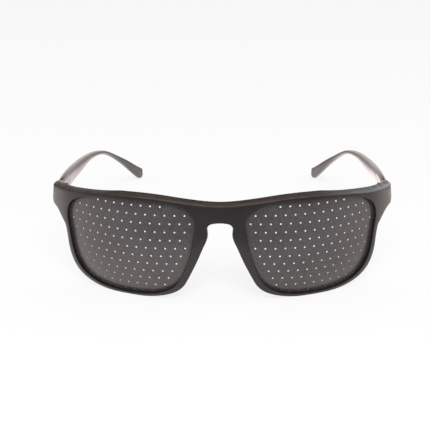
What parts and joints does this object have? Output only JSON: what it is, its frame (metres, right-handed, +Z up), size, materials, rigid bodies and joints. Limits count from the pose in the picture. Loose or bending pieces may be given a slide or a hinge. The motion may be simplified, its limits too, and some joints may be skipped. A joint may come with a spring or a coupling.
{
  "type": "pinhole glasses",
  "caption": "Black wraparound glasses whose lenses are dished opaque plates with a triangular pattern of small see-through holes, and folding temples.",
  "frame": {"origin": "on the floor the open glasses stand on, below the middle of their overall size", "axes": "+X to the wearer's left, -Y out of the front, +Y along the open temples, +Z up"},
  "size_m": [0.1416, 0.1654, 0.0441],
  "materials": {
    "front": "moulded black plastic, satin, a little browner on the end pieces",
    "lens": "opaque black plastic plate with a fine matt grain",
    "temple": "moulded black plastic, satin",
    "hinge": "plain bright steel",
    "screw": "plain steel with a slotted head"
  },
  "bodies": {
    "front": {"frame_front": "front", "lens_left": "lens", "lens_right": "lens", "front_hinge_leaf_left": "hinge", "front_hinge_leaf_right": "hinge", "hinge_screw_left": "screw", "hinge_screw_right": "screw", "front_leaf_screws_left": "screw", "front_leaf_screws_right": "screw"},
    "left_temple": {"temple_left": "temple", "temple_hinge_leaf_left": "hinge", "temple_leaf_screws_left": "screw"},
    "right_temple": {"temple_right": "temple", "temple_hinge_leaf_right": "hinge", "temple_leaf_screws_right": "screw"}
  },
  "joints": [
    {"name": "left_temple_fold", "type": "hinge", "parent": "front", "child": "left_temple", "pos_m": [0.0651, -0.04534, 0.03461], "axis": [0, 0, 1], "range_deg": [0, 86]},
    {"name": "right_temple_fold", "type": "hinge", "parent": "front", "child": "right_temple", "pos_m": [-0.0651, -0.04534, 0.03461], "axis": [0, 0, -1], "range_deg": [0, 77]}
  ]
}
